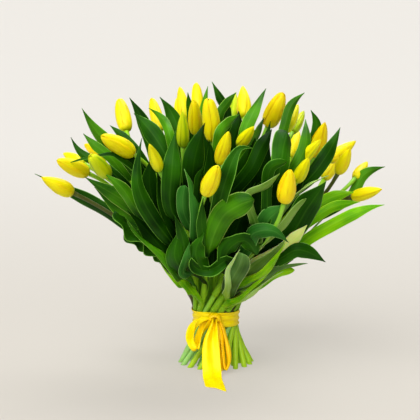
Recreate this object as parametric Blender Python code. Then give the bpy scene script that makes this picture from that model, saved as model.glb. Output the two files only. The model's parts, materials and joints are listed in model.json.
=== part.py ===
"""A hand-tied bunch of tulips standing on its cut stems.

The stems run in a spiral through one satin ribbon, spread into a round foot below it and
into a loose dome of closed flowers above it. Every tulip is one grown solid, from its flat
cut end to the tip of its flower. The outer leaves are thin solids that clasp their stems.

The origin is the middle of the foot, on the surface that the bunch stands on. The bow is
at the front, -Y, and +Z is up. Lengths are in metres.
"""
import math

import bmesh
import bpy
from mathutils import Vector
from mathutils.geometry import interpolate_bezier

MM = 0.001
GAP = 0.4 * MM                   # between faces that touch on the real bunch

# Stems
TIE_HEIGHT = 60 * MM             # the middle of the ribbon above the cut ends
STRAIGHT_ABOVE_TIE = 22 * MM     # the stems stay straight up to here, then curve out
SPIRAL = 25.5                    # sideways run per metre of height and per metre off the middle
NECK_DIAMETER = 5.2 * MM         # a stem just below its flower
STEM_SIDES = 8
STEM_BENDS = 7                   # rings of points on the curved stretch

# Closed flower: how far along it, and how wide in halves of its girth
BUD_PROFILE = ((0.07, 0.55), (0.20, 0.88), (0.38, 1.00), (0.58, 0.90), (0.78, 0.58), (0.92, 0.28))

# Leaves
LEAF_THICKNESS = 1.2 * MM
LEAF_ROWS = 8                    # along the leaf
LEAF_COLUMNS = 4                 # across the leaf
LEAF_WIDEST = 0.42               # where the leaf is widest, along its length
BASE_WRAP = math.radians(72)     # half of the arc that clasps the stem
BLADE_CUP = math.radians(24)     # half of the arc across the open blade

# Ribbon
BAND_FOOT = -6 * MM              # the lower and upper edges of its turns, off the tie
BAND_TOP = 14 * MM
RIBBON_THICKNESS = 0.9 * MM
BAND_SIDES = 40
KNOT_SIZE = (18 * MM, 9 * MM, 15 * MM)
KNOT_X = -2.5 * MM               # the knot sits a little left of the middle
KNOT_RISE = 7 * MM               # its middle above the tie
KNOT_PINCH = 0.4                 # how narrow the ribbon is where it goes into the knot
KNOT_ROUNDING = 3.5 * MM
STRIP_STEPS = 3                  # rows of points between two corners of a loop or tail
TAIL_CUT = 0.8                   # from this share of a slanted tail on, its edges run unevenly

# Each loop and tail: the ribbon's width as it hangs, creased lengthwise except in the front
# tail, and its corners, both in mm; the direction across the ribbon; how many of its ends go
# into the knot; and how far its free end's right corner reaches past the left one, in mm.
BOW = (
    ("ribbon_loop_left", 14,
     ((-13.1, -37.2, 68), (-18.5, -41, 67.5), (-28.5, -46.5, 61.5), (-33.6, -50, 52),
      (-35, -52, 44), (-32.7, -53, 36), (-27.8, -53, 31), (-24.5, -49.5, 37),
      (-21.7, -46, 46), (-18, -43, 55.5), (-13.1, -38.2, 63)),
     (0.5, -1.0, 0.3), 2, 0),
    ("ribbon_loop_right", 14,
     ((8.4, -38, 64.5), (9.8, -43, 56), (12.5, -50, 43), (15.8, -55, 30.6),
      (16.8, -59, 19.7), (15.6, -61, 10), (12.8, -62, 5), (10, -60.5, 10),
      (9.2, -57.5, 21), (8.4, -53, 33), (7.6, -47.5, 45), (7.1, -39.5, 57)),
     (0.3, -1.0, 0.1), 2, 0),
    ("ribbon_tail_front", 24,
     ((-3, -42.4, 65), (-3.4, -44.4, 60), (-5, -48.8, 52), (-6.4, -55, 43), (-6.6, -66, 25),
      (-5.6, -77, 8.5), (-5, -87, 1.8), (-4, -105, 1.1), (-2.4, -125, 1.1), (-0.6, -147, 1.1)),
     (1.0, 0.1, 0.0), 1, 27),
    ("ribbon_tail_back", 13,
     ((3.2, -37.3, 58.3), (3.7, -43, 48), (4.3, -51, 30), (4.6, -58, 4)),
     (0.25, -1.0, 0.0), 1, 0),
)

# Each ring of stems in the tie: distance off the middle, stem diameter, angle of its first
# stem. Then its tulips in order round the tie. A tulip's numbers are, for the base of its
# flower as seen from the middle of the tie, the lean to the right and to the front in
# degrees and the distance in mm; then the flower's own lean to the right and to the front;
# then its length and girth in mm, and its colour.
STEM_RINGS = (
    (0.0, 8.8, 0, (
        (8, -4, 272, -1, -40, 52, 19, "yellow"),
    )),
    (9.0, 8.6, 0, (
        (-5, -10, 271, -5, -31, 54, 16, "yellow"),
        (-9, -8, 270, -8, -30, 52, 16, "yellow"),
        (-6, 5, 255, -4, 30, 56, 18, "yellow"),
        (-1, 15, 257, -4, 18, 62, 22, "yellow"),
        (15, -4, 268, 22, 25, 56, 24, "gold"),
        (26, 14, 250, 39, 34, 54, 16, "fresh"),
    )),
    (17.7, 8.2, 15, (
        (5, -16, 269, 6, -40, 50, 14, "green"),
        (-11, -20, 268, -8, -41, 52, 15, "yellow"),
        (-25, 1, 280, -16, -37, 54, 20, "yellow"),
        (-40, -1, 272, -72, -48, 50, 15, "yellow"),
        (-25, 13, 261, -53, 34, 58, 23, "yellow"),
        (1, 28, 256, 13, 32, 56, 18, "yellow"),
        (-18, 30, 266, -19, 37, 50, 15, "fresh"),
        (27, 24, 247, 22, 43, 50, 16, "fresh"),
        (7, 17, 256, 29, 47, 52, 16, "fresh"),
        (45, -5, 265, 49, -54, 48, 15, "yellow"),
        (23, -12, 272, 34, -50, 50, 14, "green"),
        (27, -25, 252, 19, -45, 52, 17, "yellow"),
    )),
    (25.9, 7.2, 0, (
        (27, -41, 257, 20, -32, 52, 18, "fresh"),
        (5, -45, 259, 4, -35, 54, 18, "yellow"),
        (-20, -44, 253, -14, -34, 54, 18, "yellow"),
        (-17, -13, 264, -17, -34, 56, 17, "yellow"),
        (-37, -31, 251, -27, -25, 52, 18, "fresh"),
        (-34, -2, 261, -65, -47, 52, 16, "gold"),
        (-40, 6, 264, -60, 40, 56, 21, "yellow"),
        (-48, 1, 256, -60, 27, 54, 21, "yellow"),
        (-34, 19, 263, -33, 46, 50, 20, "green"),
        (-10, 18, 259, 1, 26, 54, 16, "green"),
        (-4, 40, 253, 21, 37, 56, 21, "yellow"),
        (25, 37, 250, 9, 22, 49, 22, "gold"),
        (35, 0, 261, 60, -32, 54, 17, "yellow"),
        (20, 0, 269, 30, -43, 52, 16, "fresh"),
        (39, 3, 257, 20, 38, 50, 17, "yellow"),
        (48, -2, 245, 67, 38, 52, 17, "yellow"),
        (31, -2, 255, 15, 29, 58, 20, "gold"),
        (41, -25, 253, 31, -20, 52, 18, "yellow"),
    )),
)

# Each outer leaf: the tulip that it grows on, how far above the tie its base is in mm, the
# lean of its tip to the right and to the front as seen from the tie in degrees, the tip's
# distance from the tie in mm, and the blade's width in mm.
OUTER_LEAVES = (
    (30, 26, -22, 41, 190, 34),
    (30, 62, -6, 43, 193, 28),
    (31, 66, 16, 50, 168, 26),
    (34, 26, 35, 38, 193, 28),
    (35, 28, 58, 21, 180, 30),
    (35, 64, 54, 8, 276, 30),
    (37, 28, 50, -20, 215, 38),
    (37, 64, 48, -36, 215, 38),
    (20, 28, 34, -52, 205, 38),
    (21, 32, 12, -56, 220, 42),
    (22, 28, -10, -56, 205, 38),
    (22, 64, -28, -52, 200, 36),
    (24, 28, -44, -44, 205, 38),
    (24, 64, -48, -30, 195, 34),
    (26, 28, -56, -6, 290, 32),
    (27, 26, -50, 16, 190, 30),
    (28, 32, -35, 26, 221, 30),
)

# Colour, roughness, metallic
FINISHES = {
    "stem": ((0.36, 0.52, 0.20), 0.45, 0.0),
    "leaf": ((0.10, 0.26, 0.08), 0.50, 0.0),
    "ribbon": ((0.95, 0.78, 0.02), 0.35, 0.0),
    "yellow": ((0.92, 0.70, 0.02), 0.50, 0.0),
    "gold": ((0.90, 0.55, 0.02), 0.50, 0.0),
    "fresh": ((0.62, 0.66, 0.06), 0.50, 0.0),
    "green": ((0.34, 0.46, 0.07), 0.50, 0.0),
}


def clear_scene():
    for item in list(bpy.data.objects):
        bpy.data.objects.remove(item, do_unlink=True)


def finish(name, use):
    """A material for one piece."""
    colour, roughness, metallic = FINISHES[use]
    material = bpy.data.materials.new(name + "_" + use)
    material.use_nodes = True
    shader = material.node_tree.nodes["Principled BSDF"]
    shader.inputs["Base Color"].default_value = (*colour, 1.0)
    shader.inputs["Roughness"].default_value = roughness
    shader.inputs["Metallic"].default_value = metallic
    return material


def add_piece(name, points, faces, uses):
    """One named object from points and faces, smooth shaded, with its own materials."""
    mesh = bpy.data.meshes.new(name)
    mesh.from_pydata([tuple(point) for point in points], [], faces)
    for use in uses:
        mesh.materials.append(finish(name, use))
    mesh.shade_smooth()
    piece = bpy.data.objects.new(name, mesh)
    bpy.context.scene.collection.objects.link(piece)
    return piece


def add_sheet(name, rows, thickness, use, ring=False):
    """A thin sheet through rows of points, thickened evenly to both sides of them."""
    columns = len(rows[0])
    faces = []
    for i in range(len(rows) - (0 if ring else 1)):
        here = i * columns
        after = (i + 1) % len(rows) * columns
        for j in range(columns - 1):
            faces.append((here + j, here + j + 1, after + j + 1, after + j))
    piece = add_piece(name, [point for row in rows for point in row], faces, [use])
    solidify = piece.modifiers.new("thickness", "SOLIDIFY")
    solidify.thickness = thickness
    solidify.offset = 0
    return piece


def leaning(right, front):
    """The unit vector that leans so many degrees to the right and then to the front."""
    right = math.radians(right)
    front = math.radians(front)
    level = math.cos(front)
    return Vector((level * math.sin(right), -math.sin(front), level * math.cos(right)))


def route_directions(route):
    """The direction of travel at each point of a route."""
    last = len(route) - 1
    return [(route[min(i + 1, last)] - route[max(i - 1, 0)]).normalized() for i in range(last + 1)]


def curve_between(start, leaving, end, arriving, early, late, count):
    """Points on a Bezier from start to end; early and late are handle lengths in spans."""
    span = (end - start).length
    return interpolate_bezier(
        start, start + leaving * span * early, end - arriving * span * late, end, count)


# Tulips

def closed_tube(route, radii, sides):
    """Points and faces of a round tube: flat at its first point, shut at its last."""
    points = []
    side = Vector((1, 0, 0))
    for centre, along, radius in zip(route[:-1], route_directions(route)[:-1], radii):
        side = (side - along * side.dot(along)).normalized()
        other = along.cross(side)
        for step in range(sides):
            turn = 2 * math.pi * step / sides
            point = centre + (side * math.cos(turn) + other * math.sin(turn)) * radius
            if centre is route[0]:
                point -= along * (point.z - centre.z) / along.z
            points.append(point)
    rings = len(route) - 1
    faces = [tuple(reversed(range(sides)))]
    for ring in range(rings - 1):
        for step in range(sides):
            a = ring * sides + step
            b = ring * sides + (step + 1) % sides
            faces.append((a, b, b + sides, a + sides))
    points.append(route[-1])
    last = (rings - 1) * sides
    for step in range(sides):
        faces.append((last + step, last + (step + 1) % sides, len(points) - 1))
    return points, faces


def stem_route(ring_radius, angle, flower_base, flower_axis):
    """A stem's middle line: straight through the tie, then curving to its flower."""
    seat = Vector((ring_radius * math.cos(angle), ring_radius * math.sin(angle), TIE_HEIGHT))
    slope = Vector((-SPIRAL * seat.y, SPIRAL * seat.x, 1.0))
    foot = seat - slope * TIE_HEIGHT
    shoulder = seat + slope * STRAIGHT_ABOVE_TIE
    curve = curve_between(
        shoulder, slope.normalized(), flower_base, flower_axis, 0.42, 0.33, STEM_BENDS + 1)
    return [foot] + curve


def add_tulip(name, ring_radius, stem_diameter, angle, flower):
    """One tulip; returns the middle line and the radii of its stem."""
    right, front, distance, nod_right, nod_front, length, girth, colour = flower
    base = Vector((0, 0, TIE_HEIGHT)) + leaning(right, front) * distance * MM
    axis = leaning(nod_right, nod_front)
    stem = stem_route(ring_radius, angle, base, axis)
    thick = stem_diameter / 2
    thin = NECK_DIAMETER / 2
    radii = [thick] + [thick + (thin - thick) * i / STEM_BENDS for i in range(STEM_BENDS + 1)]
    bud = [base + axis * length * MM * along for along, _ in BUD_PROFILE]
    bud_radii = [girth / 2 * MM * width for _, width in BUD_PROFILE]
    route = stem + bud + [base + axis * length * MM]
    points, faces = closed_tube(route, radii + bud_radii, STEM_SIDES)
    tulip = add_piece(name, points, faces, ["stem", colour])
    first_petal_face = 1 + (len(stem) - 1) * STEM_SIDES
    for polygon in tulip.data.polygons:
        polygon.material_index = int(polygon.index >= first_petal_face)
    return stem, radii


def add_tulips():
    """All tulips, ring by ring; returns their stems in the same order."""
    stems = []
    for ring_radius, stem_diameter, first_angle, flowers in STEM_RINGS:
        for seat, flower in enumerate(flowers):
            angle = math.radians(first_angle + 360 * seat / len(flowers))
            name = f"tulip_{len(stems) + 1:02d}"
            stems.append(add_tulip(name, ring_radius * MM, stem_diameter * MM, angle, flower))
    return stems


# Leaves

def leaf_width(along, base_width, widest):
    """A tulip leaf's outline: a narrow base, widest below the middle, a long point."""
    if along < LEAF_WIDEST:
        step = along / LEAF_WIDEST
        return base_width + (widest - base_width) * step * step * (3 - 2 * step)
    step = (along - LEAF_WIDEST) / (1 - LEAF_WIDEST)
    return widest * (1 - step ** 2.2) + MM * step


def add_leaf(name, stem, radii, start_height, tip_lean, distance, width):
    """A blade whose base clasps the outer side of a stem and whose tip leans out."""
    start_z = TIE_HEIGHT + start_height
    step = next(i for i, point in enumerate(stem) if point.z > start_z)
    below, above = stem[step - 1], stem[step]
    centre = below.lerp(above, (start_z - below.z) / (above.z - below.z))
    along = (above - below).normalized()
    outward = Vector((centre.x, centre.y, 0))
    outward = (outward - along * outward.dot(along)).normalized()
    wrap_radius = radii[step] + GAP + LEAF_THICKNESS / 2
    start = centre + outward * wrap_radius
    tip_direction = leaning(*tip_lean)
    tip = Vector((0, 0, TIE_HEIGHT)) + tip_direction * distance
    spine = curve_between(start, along, tip, tip_direction, 0.30, 0.35, LEAF_ROWS + 1)
    base_width = 2 * wrap_radius * BASE_WRAP
    rows = []
    face = outward
    for i, (point, travel) in enumerate(zip(spine, route_directions(spine))):
        share = i / LEAF_ROWS
        face = (face - travel * face.dot(travel)).normalized()
        across = travel.cross(face)
        opening = min(share / 0.4, 1.0)
        half_arc = BASE_WRAP + (BLADE_CUP - BASE_WRAP) * opening
        arc_radius = leaf_width(share, base_width, width) / 2 / half_arc
        row = []
        for j in range(LEAF_COLUMNS + 1):
            turn = half_arc * (2 * j / LEAF_COLUMNS - 1)
            out = face * math.cos(turn) + across * math.sin(turn)
            row.append(point + (out - face) * arc_radius)
        rows.append(row)
    add_sheet(name, rows, LEAF_THICKNESS, "leaf")


def add_leaves(stems):
    for number, (host, start, right, front, distance, width) in enumerate(OUTER_LEAVES, 1):
        stem, radii = stems[host - 1]
        add_leaf(f"leaf_{number:02d}", stem, radii, start * MM, (right, front),
                 distance * MM, width * MM)


# Ribbon

def spread_radius(height):
    """How far the outer stems' faces are from the middle, at a height off the tie."""
    ring_radius, stem_diameter = STEM_RINGS[-1][:2]
    return (ring_radius * math.hypot(1, SPIRAL * height) + stem_diameter / 2) * MM


def add_band():
    """The turns of ribbon round the waist of the stems, as one ring."""
    rows = []
    for step in range(BAND_SIDES):
        turn = 2 * math.pi * step / BAND_SIDES
        row = []
        for z in (BAND_FOOT, 0, BAND_TOP / 2, BAND_TOP):
            radius = spread_radius(z) + GAP + RIBBON_THICKNESS / 2
            row.append((radius * math.cos(turn), radius * math.sin(turn), TIE_HEIGHT + z))
        rows.append(row)
    add_sheet("ribbon_band", rows, RIBBON_THICKNESS, "ribbon", ring=True)


def add_knot():
    """The pulled-tight knot, a rounded pad on the front of the band."""
    top = KNOT_RISE + KNOT_SIZE[2] / 2 - KNOT_ROUNDING
    front = spread_radius(top) + GAP + RIBBON_THICKNESS + GAP
    shape = bmesh.new()
    bmesh.ops.create_cube(shape, size=1)
    bmesh.ops.scale(shape, vec=KNOT_SIZE, verts=shape.verts)
    bmesh.ops.bevel(shape, geom=shape.edges[:], offset=KNOT_ROUNDING, segments=3, profile=0.5,
                    affect="EDGES")
    mesh = bpy.data.meshes.new("ribbon_knot")
    shape.to_mesh(mesh)
    shape.free()
    mesh.materials.append(finish("ribbon_knot", "ribbon"))
    mesh.shade_smooth()
    knot = bpy.data.objects.new("ribbon_knot", mesh)
    knot.location = (KNOT_X, -(front + KNOT_SIZE[1] / 2), TIE_HEIGHT + KNOT_RISE)
    bpy.context.scene.collection.objects.link(knot)


def smooth_route(corners, steps):
    """A smooth line through hand-chosen points, with so many steps from each to the next."""
    corners = [Vector(corner) * MM for corner in corners]
    ends = [2 * corners[0] - corners[1]] + corners + [2 * corners[-1] - corners[-2]]
    route = []
    for before, here, after, beyond in zip(ends, ends[1:], ends[2:], ends[3:]):
        leaving = here + (after - before) / 6
        arriving = after - (beyond - here) / 6
        route += interpolate_bezier(here, leaving, arriving, after, steps + 1)[:-1]
    return route + [corners[-1]]


def add_ribbon_strip(name, open_width, corners, side, knot_ends, slant):
    """A loop or tail: ribbon along a route, narrowed where it goes into the knot."""
    route = smooth_route(corners, STRIP_STEPS)
    run = [0.0]
    for here, after in zip(route, route[1:]):
        run.append(run[-1] + (after - here).length)
    rows = []
    for point, travel, distance in zip(route, route_directions(route), run):
        share = distance / run[-1]
        across = Vector(side)
        across = (across - travel * across.dot(travel)).normalized()
        from_knot = min(share, 1 - share) if knot_ends == 2 else share
        width = open_width * MM * (KNOT_PINCH + (1 - KNOT_PINCH) * min(from_knot / 0.25, 1.0))
        reach = travel * slant * MM / 2 * max(share - TAIL_CUT, 0) / (1 - TAIL_CUT)
        half = across * width / 2
        rows.append([point - half - reach, point, point + half + reach])
    add_sheet(name, rows, RIBBON_THICKNESS, "ribbon")


def add_bow():
    """Two hanging loops and two tails. The tails reach the surface and lie on it."""
    for name, open_width, corners, side, knot_ends, slant in BOW:
        add_ribbon_strip(name, open_width, corners, side, knot_ends, slant)


def main():
    clear_scene()
    stems = add_tulips()
    add_leaves(stems)
    add_band()
    add_knot()
    add_bow()


main()
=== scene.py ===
"""The looks of a hand-tied bunch of yellow tulips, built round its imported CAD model.

Every CAD solid is replaced by finer pieces in the same place: a stem and a flower of six
petals for each tulip, thin veined leaves, and a satin ribbon. The extra leaves that fill
the bunch clasp the same stems. Lengths are in metres unless a name says mm.
"""
import json
import math
import random

import bpy
import numpy as np
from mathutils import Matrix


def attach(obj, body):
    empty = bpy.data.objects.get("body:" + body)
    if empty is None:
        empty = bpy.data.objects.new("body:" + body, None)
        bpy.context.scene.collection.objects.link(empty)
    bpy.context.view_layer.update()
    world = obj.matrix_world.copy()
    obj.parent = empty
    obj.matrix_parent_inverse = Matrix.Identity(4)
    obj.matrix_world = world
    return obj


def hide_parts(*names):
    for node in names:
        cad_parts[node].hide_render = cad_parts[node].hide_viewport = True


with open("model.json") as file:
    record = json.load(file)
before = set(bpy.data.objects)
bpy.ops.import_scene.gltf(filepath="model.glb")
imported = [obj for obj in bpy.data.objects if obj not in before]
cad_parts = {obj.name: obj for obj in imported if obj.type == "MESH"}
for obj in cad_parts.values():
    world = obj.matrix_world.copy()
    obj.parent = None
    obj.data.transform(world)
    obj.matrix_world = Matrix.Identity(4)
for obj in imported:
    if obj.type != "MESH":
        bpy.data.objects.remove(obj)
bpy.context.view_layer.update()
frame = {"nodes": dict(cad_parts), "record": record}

MM = 0.001
UP = np.array((0.0, 0.0, 1.0))
FRONT = np.array((0.0, -1.0, 0.0))
TIE = np.array((0.0, 0.0, 60 * MM))      # the middle of the ribbon's turns round the stems
ROOT = "root"
SLOTS = {part["node"]: part["material_slot"] for part in frame["record"]["subparts"]}

# Stems
STEM_SIDES = 14
STEM_RINGS = 44
CUT_BEVEL = 0.5 * MM                     # the worn rim of a cut end

# Petals
PETAL_ROWS = 20
PETAL_COLUMNS = 12
PETAL_THICKNESS = 0.45 * MM
FULLEST = 0.32                           # how far up a closed flower is fullest

# Leaves
LEAF_ROWS = 44
LEAF_COLUMNS = 12
LEAF_THICKNESS = 0.55 * MM
CLASP = math.radians(110)                # half of the arc that a leaf's base clasps
SHEATH_GAP = 1.0 * MM                    # between a stem's middle skin and the blade round it
SHEATH_LENGTH = 34 * MM
SHEATH_LOWEST = 75 * MM                  # no sheath reaches further down than this
FOLD = 0.12                              # how far the midrib stands out, in blade widths

# Ribbon
RIBBON_THICKNESS = 0.45 * MM
RIBBON_WIDTH = 25 * MM                   # cut flat
BAND_FLAT = 22.5 * MM                    # its width where it goes round the stems
BAND_FOOT = -6 * MM                      # the band's lower and upper edges, off the tie
BAND_TOP = 14 * MM
BAND_PLEATS = 2.5
OUTER_RING = 25.9 * MM                   # the outer stems' middles, off the middle of the tie
OUTER_STEM = 3.6 * MM                    # an outer stem's radius
SPIRAL = 25.5                            # how fast the stems spread, per metre off the tie
STRIP_ROWS = 72
STRIP_COLUMNS = 24
# How much longer waves of these steepest slopes are than the width that they take up
WAVE_SLOPES = np.linspace(0, 14, 281)
WAVE_LENGTHS = np.hypot(
    1, WAVE_SLOPES[:, None] * np.cos(np.linspace(0, math.pi, 91))).mean(axis=1)

# Lines
LINE_STEPS = 24                          # points worked out between two corners of a line


# Lines and frames

def unit(vector):
    return vector / np.linalg.norm(vector)


def from_tie(right, front, distance):
    """The point so many mm from the tie, leaning so many degrees right and then forwards."""
    right = math.radians(right)
    front = math.radians(front)
    level = math.cos(front)
    lean = np.array((level * math.sin(right), -math.sin(front), level * math.cos(right)))
    return TIE + lean * distance * MM


def runs(line):
    """How far along a line each of its points is."""
    return np.concatenate(([0], np.cumsum(np.linalg.norm(np.diff(line, axis=0), axis=1))))


def smooth_line(corners, count):
    """So many evenly spaced points on a smooth line through the corners."""
    corners = np.array(corners, float)
    at = runs(corners)
    chords = np.diff(at)
    slopes = np.empty_like(corners)
    slopes[1:-1] = (corners[2:] - corners[:-2]) / (at[2:] - at[:-2])[:, None]
    slopes[0] = 1.5 * (corners[1] - corners[0]) / chords[0] - 0.5 * slopes[1]
    slopes[-1] = 1.5 * (corners[-1] - corners[-2]) / chords[-1] - 0.5 * slopes[-2]
    u = np.linspace(0, 1, LINE_STEPS, endpoint=False)[:, None]
    dense = []
    for i, chord in enumerate(chords):
        dense.append(
            (2 * u ** 3 - 3 * u ** 2 + 1) * corners[i]
            + (u ** 3 - 2 * u ** 2 + u) * chord * slopes[i]
            + (3 * u ** 2 - 2 * u ** 3) * corners[i + 1]
            + (u ** 3 - u ** 2) * chord * slopes[i + 1])
    dense = np.concatenate(dense + [corners[-1:]])
    even = np.linspace(0, runs(dense)[-1], count)
    return np.stack([np.interp(even, runs(dense), dense[:, k]) for k in range(3)], axis=1)


def directions(line):
    """The direction of travel at each point of a line."""
    steps = np.gradient(line, axis=0)
    return steps / np.linalg.norm(steps, axis=1)[:, None]


def square_to(direction, vector):
    """The part of a vector that stands square to a direction."""
    return vector - direction * vector.dot(direction)


def carried(side, travels):
    """A side direction carried along a line without twisting about it."""
    sides = []
    for travel in travels:
        side = unit(square_to(travel, side))
        sides.append(side)
    return np.array(sides)


def grid_of(start, *terms):
    """A grid of points: a start, and how far each of the given directions takes them."""
    return sum((direction * reach[:, :, None] for direction, reach in terms), start)


def smoothstep(x):
    x = np.clip(x, 0, 1)
    return x * x * (3 - 2 * x)


# Pieces

def add_object(name, data):
    """An object that shows a mesh, shines a lamp or holds the camera."""
    made = bpy.data.objects.new(name, data)
    bpy.context.scene.collection.objects.link(made)
    return made


class Skin:
    """The points, faces and face corners' UVs of one piece, made of grids."""

    def __init__(self, *grids):
        self.points = []
        self.faces = []
        self.uvs = []
        self.uses = []
        for grid in grids:
            self.add_grid(grid)

    def add_face(self, corners, uvs, use=0):
        self.faces.append(corners)
        self.uvs.append(uvs)
        self.uses.append(use)

    def add_grid(self, grid, ring=False, use=0):
        """Rows of points; a ring's rows close on themselves. U runs across, V along."""
        first = len(self.points)
        rows, columns = grid.shape[:2]
        self.points += [tuple(point) for point in grid.reshape(-1, 3)]
        spans = columns if ring else columns - 1
        for i in range(rows - 1):
            for j in range(spans):
                a = first + i * columns + j
                b = first + i * columns + (j + 1) % columns
                u, u_next = j / spans, (j + 1) / spans
                v, v_next = i / (rows - 1), (i + 1) / (rows - 1)
                self.add_face((a, b, b + columns, a + columns),
                              ((u, v), (u_next, v), (u_next, v_next), (u, v_next)), use)
        return first

    def make(self, name, materials):
        mesh = bpy.data.meshes.new(name)
        mesh.from_pydata(self.points, [], self.faces)
        corner_uvs = [value for uvs in self.uvs for uv in uvs for value in uv]
        mesh.uv_layers.new(name="along").data.foreach_set("uv", corner_uvs)
        mesh.polygons.foreach_set("material_index", self.uses)
        for material in materials:
            mesh.materials.append(material)
        mesh.shade_smooth()
        piece = add_object(name, mesh)
        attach(piece, ROOT)
        return piece


def thicken(piece, thickness):
    """Gives a sheet its thickness, half to each side."""
    solidify = piece.modifiers.new("thickness", "SOLIDIFY")
    solidify.thickness = thickness
    solidify.offset = 0


# Materials

def connect(tree, value, socket):
    """Gives a socket its source or its value."""
    if isinstance(value, bpy.types.NodeSocket):
        tree.links.new(value, socket)
    elif isinstance(value, tuple) and socket.type == "RGBA":
        socket.default_value = (*value, 1.0)
    else:
        socket.default_value = value


def feed(tree, node, **values):
    """Gives a node's named sockets their sources or values."""
    for name, value in values.items():
        connect(tree, value, node.inputs[name.replace("_", " ")])


def put(tree, kind, **settings):
    """Adds a shader node. Settings with a capital are sockets, the others properties."""
    node = tree.nodes.new("ShaderNode" + kind)
    for name, value in settings.items():
        if name[0].isupper():
            feed(tree, node, **{name: value})
        else:
            setattr(node, name, value)
    return node


def calculate(tree, operation, *values):
    """A Math node's result."""
    node = put(tree, "Math", operation=operation)
    for value, socket in zip(values, node.inputs):
        connect(tree, value, socket)
    return node.outputs[0]


def times(tree, first, second):
    return calculate(tree, "MULTIPLY", first, second)


def larger(tree, first, second):
    return calculate(tree, "MAXIMUM", first, second)


def summed(tree, total, *parts):
    """A value and others with their own weights, added up."""
    for value, weight in parts:
        total = calculate(tree, "MULTIPLY_ADD", value, weight, total)
    return total


def blended(tree, share, first, second):
    """A colour between two others."""
    node = put(tree, "Mix", data_type="RGBA", Factor=share)
    colours = [socket for socket in node.inputs if socket.type == "RGBA"]
    connect(tree, first, colours[0])
    connect(tree, second, colours[1])
    return next(socket for socket in node.outputs if socket.type == "RGBA")


def mapped(tree, value, low, high, out_low=0.0, out_high=1.0):
    """A value eased from one range to another."""
    return put(tree, "MapRange", interpolation_type="SMOOTHSTEP", Value=value, From_Min=low,
               From_Max=high, To_Min=out_low, To_Max=out_high).outputs["Result"]


def new_group(name, inputs, outputs):
    """An empty shader node group with named value inputs and outputs."""
    group = bpy.data.node_groups.new(name, "ShaderNodeTree")
    for socket_name, default in inputs:
        socket = group.interface.new_socket(
            socket_name, in_out="INPUT", socket_type="NodeSocketFloat")
        socket.default_value = default
    for socket_name in outputs:
        group.interface.new_socket(
            socket_name, in_out="OUTPUT", socket_type="NodeSocketFloat")
    given = group.nodes.new("NodeGroupInput").outputs
    results = group.nodes.new("NodeGroupOutput").inputs
    return group, given, results


def use_group(tree, group, **values):
    return put(tree, "Group", node_tree=group, **values).outputs


def noise(group, place, scale, detail):
    """Smooth noise, spread to fill the range from 0 to 1."""
    found = put(group, "TexNoise", Vector=place, Scale=scale, Detail=detail).outputs[0]
    return mapped(group, found, 0.3, 0.7)


def place_along(group):
    """Where a point is across and along its piece."""
    uv = put(group, "UVMap", uv_map="along").outputs["UV"]
    return put(group, "SeparateXYZ", Vector=uv).outputs


def make_strands():
    """Fine lengthwise lines that keep to the piece, and a slower lengthwise change."""
    group, given, results = new_group(
        "strands", (("Across", 40.0), ("Along", 2.0)), ("Fine", "Broad"))
    parts = place_along(group)
    across = times(group, parts["X"], given["Across"])
    along = times(group, parts["Y"], given["Along"])
    for name, pace, detail in (("Fine", 1.0, 2.0), ("Broad", 0.18, 1.0)):
        place = put(group, "CombineXYZ", X=times(group, across, pace), Y=along)
        group.links.new(noise(group, place.outputs[0], 1.0, detail), results[name])
    return group


def make_places():
    """Where a point is on a sheet: at its edges, its middle line, its base and its tip."""
    group, given, results = new_group(
        "places", (("Edge", 0.9), ("Rib", 0.1), ("Base", 0.1), ("Tip", 0.9)),
        ("Edge", "Rib", "Base", "Tip"))
    parts = place_along(group)
    off = calculate(group, "ABSOLUTE", calculate(group, "MULTIPLY_ADD", parts["X"], 2.0, -1.0))
    for name, value in (("Edge", off), ("Tip", parts["Y"])):
        group.links.new(mapped(group, value, given[name], 1.0), results[name])
    for name, value in (("Rib", off), ("Base", parts["Y"])):
        group.links.new(mapped(group, value, 0.0, given[name], 1.0, 0.0), results[name])
    return group


def make_patches():
    """Soft uneven patches, fixed in the piece's own space."""
    group, given, results = new_group("patches", (("Size", 20 * MM),), ("Soft", "Small"))
    place = put(group, "TexCoord").outputs["Object"]
    for name, repeats, detail in (("Soft", 1.0, 1.0), ("Small", 5.0, 3.0)):
        scale = calculate(group, "DIVIDE", repeats, given["Size"])
        group.links.new(noise(group, place, scale, detail), results[name])
    return group


STRANDS = make_strands()
PLACES = make_places()
PATCHES = make_patches()


def new_material(name):
    """A material and its node tree."""
    material = bpy.data.materials.new(name)
    material.use_nodes = True
    return material, material.node_tree


def finished(material, colour, roughness, relief, depth, strength=0.5, **values):
    """Feeds a material's shader what changes over the surface, and sets what doesn't."""
    tree = material.node_tree
    bump = put(tree, "Bump", Height=relief, Distance=depth * MM, Strength=strength)
    feed(tree, tree.nodes["Principled BSDF"], Base_Color=colour, Roughness=roughness,
         Normal=bump.outputs["Normal"], **values)
    return material


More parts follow.
